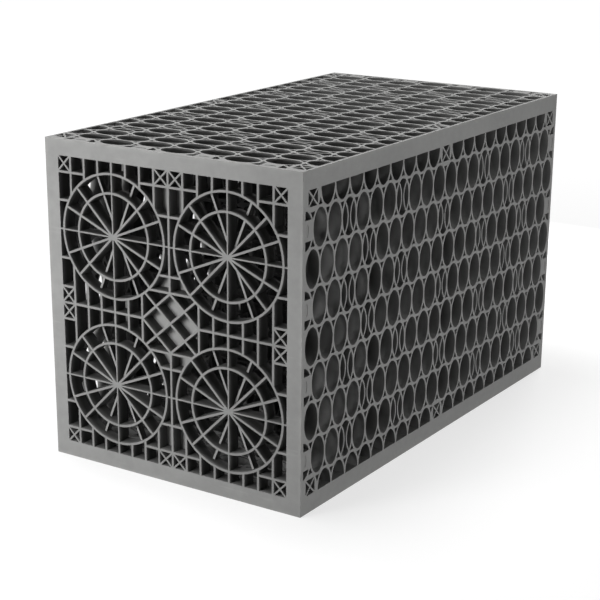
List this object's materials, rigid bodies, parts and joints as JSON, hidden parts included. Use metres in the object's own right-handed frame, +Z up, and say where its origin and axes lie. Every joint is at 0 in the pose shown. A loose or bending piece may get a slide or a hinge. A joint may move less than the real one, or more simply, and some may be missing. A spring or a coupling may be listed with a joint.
{
  "type": "soakaway crate",
  "caption": "Open box-shaped soakaway crate of clipped lattice plates, with ringed pipe ports in one end, for storing and draining storm water underground.",
  "frame": {"origin": "middle of the underside of the bottom deck, on the ground", "axes": "+Z up, +Y along the length away from the pipe end, +X to the right seen from the pipe end"},
  "size_m": [0.4, 0.715, 0.44],
  "materials": {
    "deck_plastic": "moulded, slightly satin",
    "side_plastic": "moulded, slightly satin",
    "end_plastic": "moulded, slightly satin",
    "inner_plastic": "moulded, matte"
  },
  "bodies": {
    "root": {"bottom_deck": "deck_plastic", "top_deck": "deck_plastic", "side_plate_left": "side_plastic", "side_plate_right": "side_plastic", "pipe_end_plate": "end_plastic", "rear_end_plate": "end_plastic", "inner_plate_1": "inner_plastic", "inner_plate_2": "inner_plastic", "inner_plate_3": "inner_plastic"}
  },
  "joints": []
}
